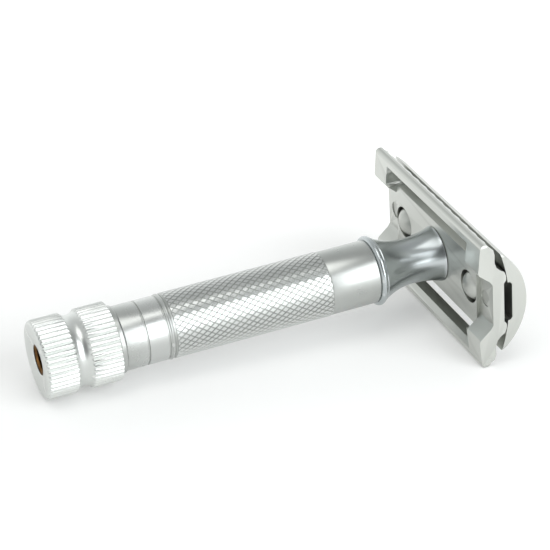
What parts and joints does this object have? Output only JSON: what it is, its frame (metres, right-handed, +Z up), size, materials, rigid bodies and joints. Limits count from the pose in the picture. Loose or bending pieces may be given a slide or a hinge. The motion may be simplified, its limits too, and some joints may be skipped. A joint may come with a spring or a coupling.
{
  "type": "double-edge safety razor",
  "caption": "Safety razor with a knurled handle, a fluted bottom knob that lifts the domed cap, and a slotted guard plate.",
  "frame": {"origin": "centre of the bounding box, on the plane the razor lies on", "axes": "+X along the handle towards the head, +Y along the head, +Z up from the plane it lies on"},
  "size_m": [0.085, 0.0434, 0.025],
  "materials": {
    "bright_chrome": "bright plated",
    "satin_chrome": "satin plated",
    "stud_steel": "turned",
    "ring_steel": "staked",
    "bare_brass": "turned",
    "washer_nylon": "natural"
  },
  "bodies": {
    "handle": {"handle_tube": "satin_chrome", "neck": "bright_chrome", "collar": "satin_chrome", "thrust_washer": "washer_nylon", "guard_plate": "satin_chrome", "retaining_ring": "ring_steel"},
    "drive": {"knob": "satin_chrome", "knob_sleeve": "bare_brass", "drive_rod": "bare_brass", "draw_nut": "bare_brass"},
    "head": {"cap": "bright_chrome", "cap_stud": "stud_steel"}
  },
  "joints": [
    {"name": "knob_turn", "type": "hinge", "parent": "handle", "child": "drive", "pos_m": [-0.04209, 0, 0.00712], "axis": [-0.9975, 0, -0.0705], "range_deg": [0, 1440]},
    {"name": "cap_lift", "type": "slide", "parent": "handle", "child": "head", "axis": [0.9975, 0, 0.0705], "range_m": [0, 0.0032]}
  ],
  "couplings": [
    {"joint": "knob_turn", "follows": "cap_lift", "rad_per_m": 7854}
  ]
}
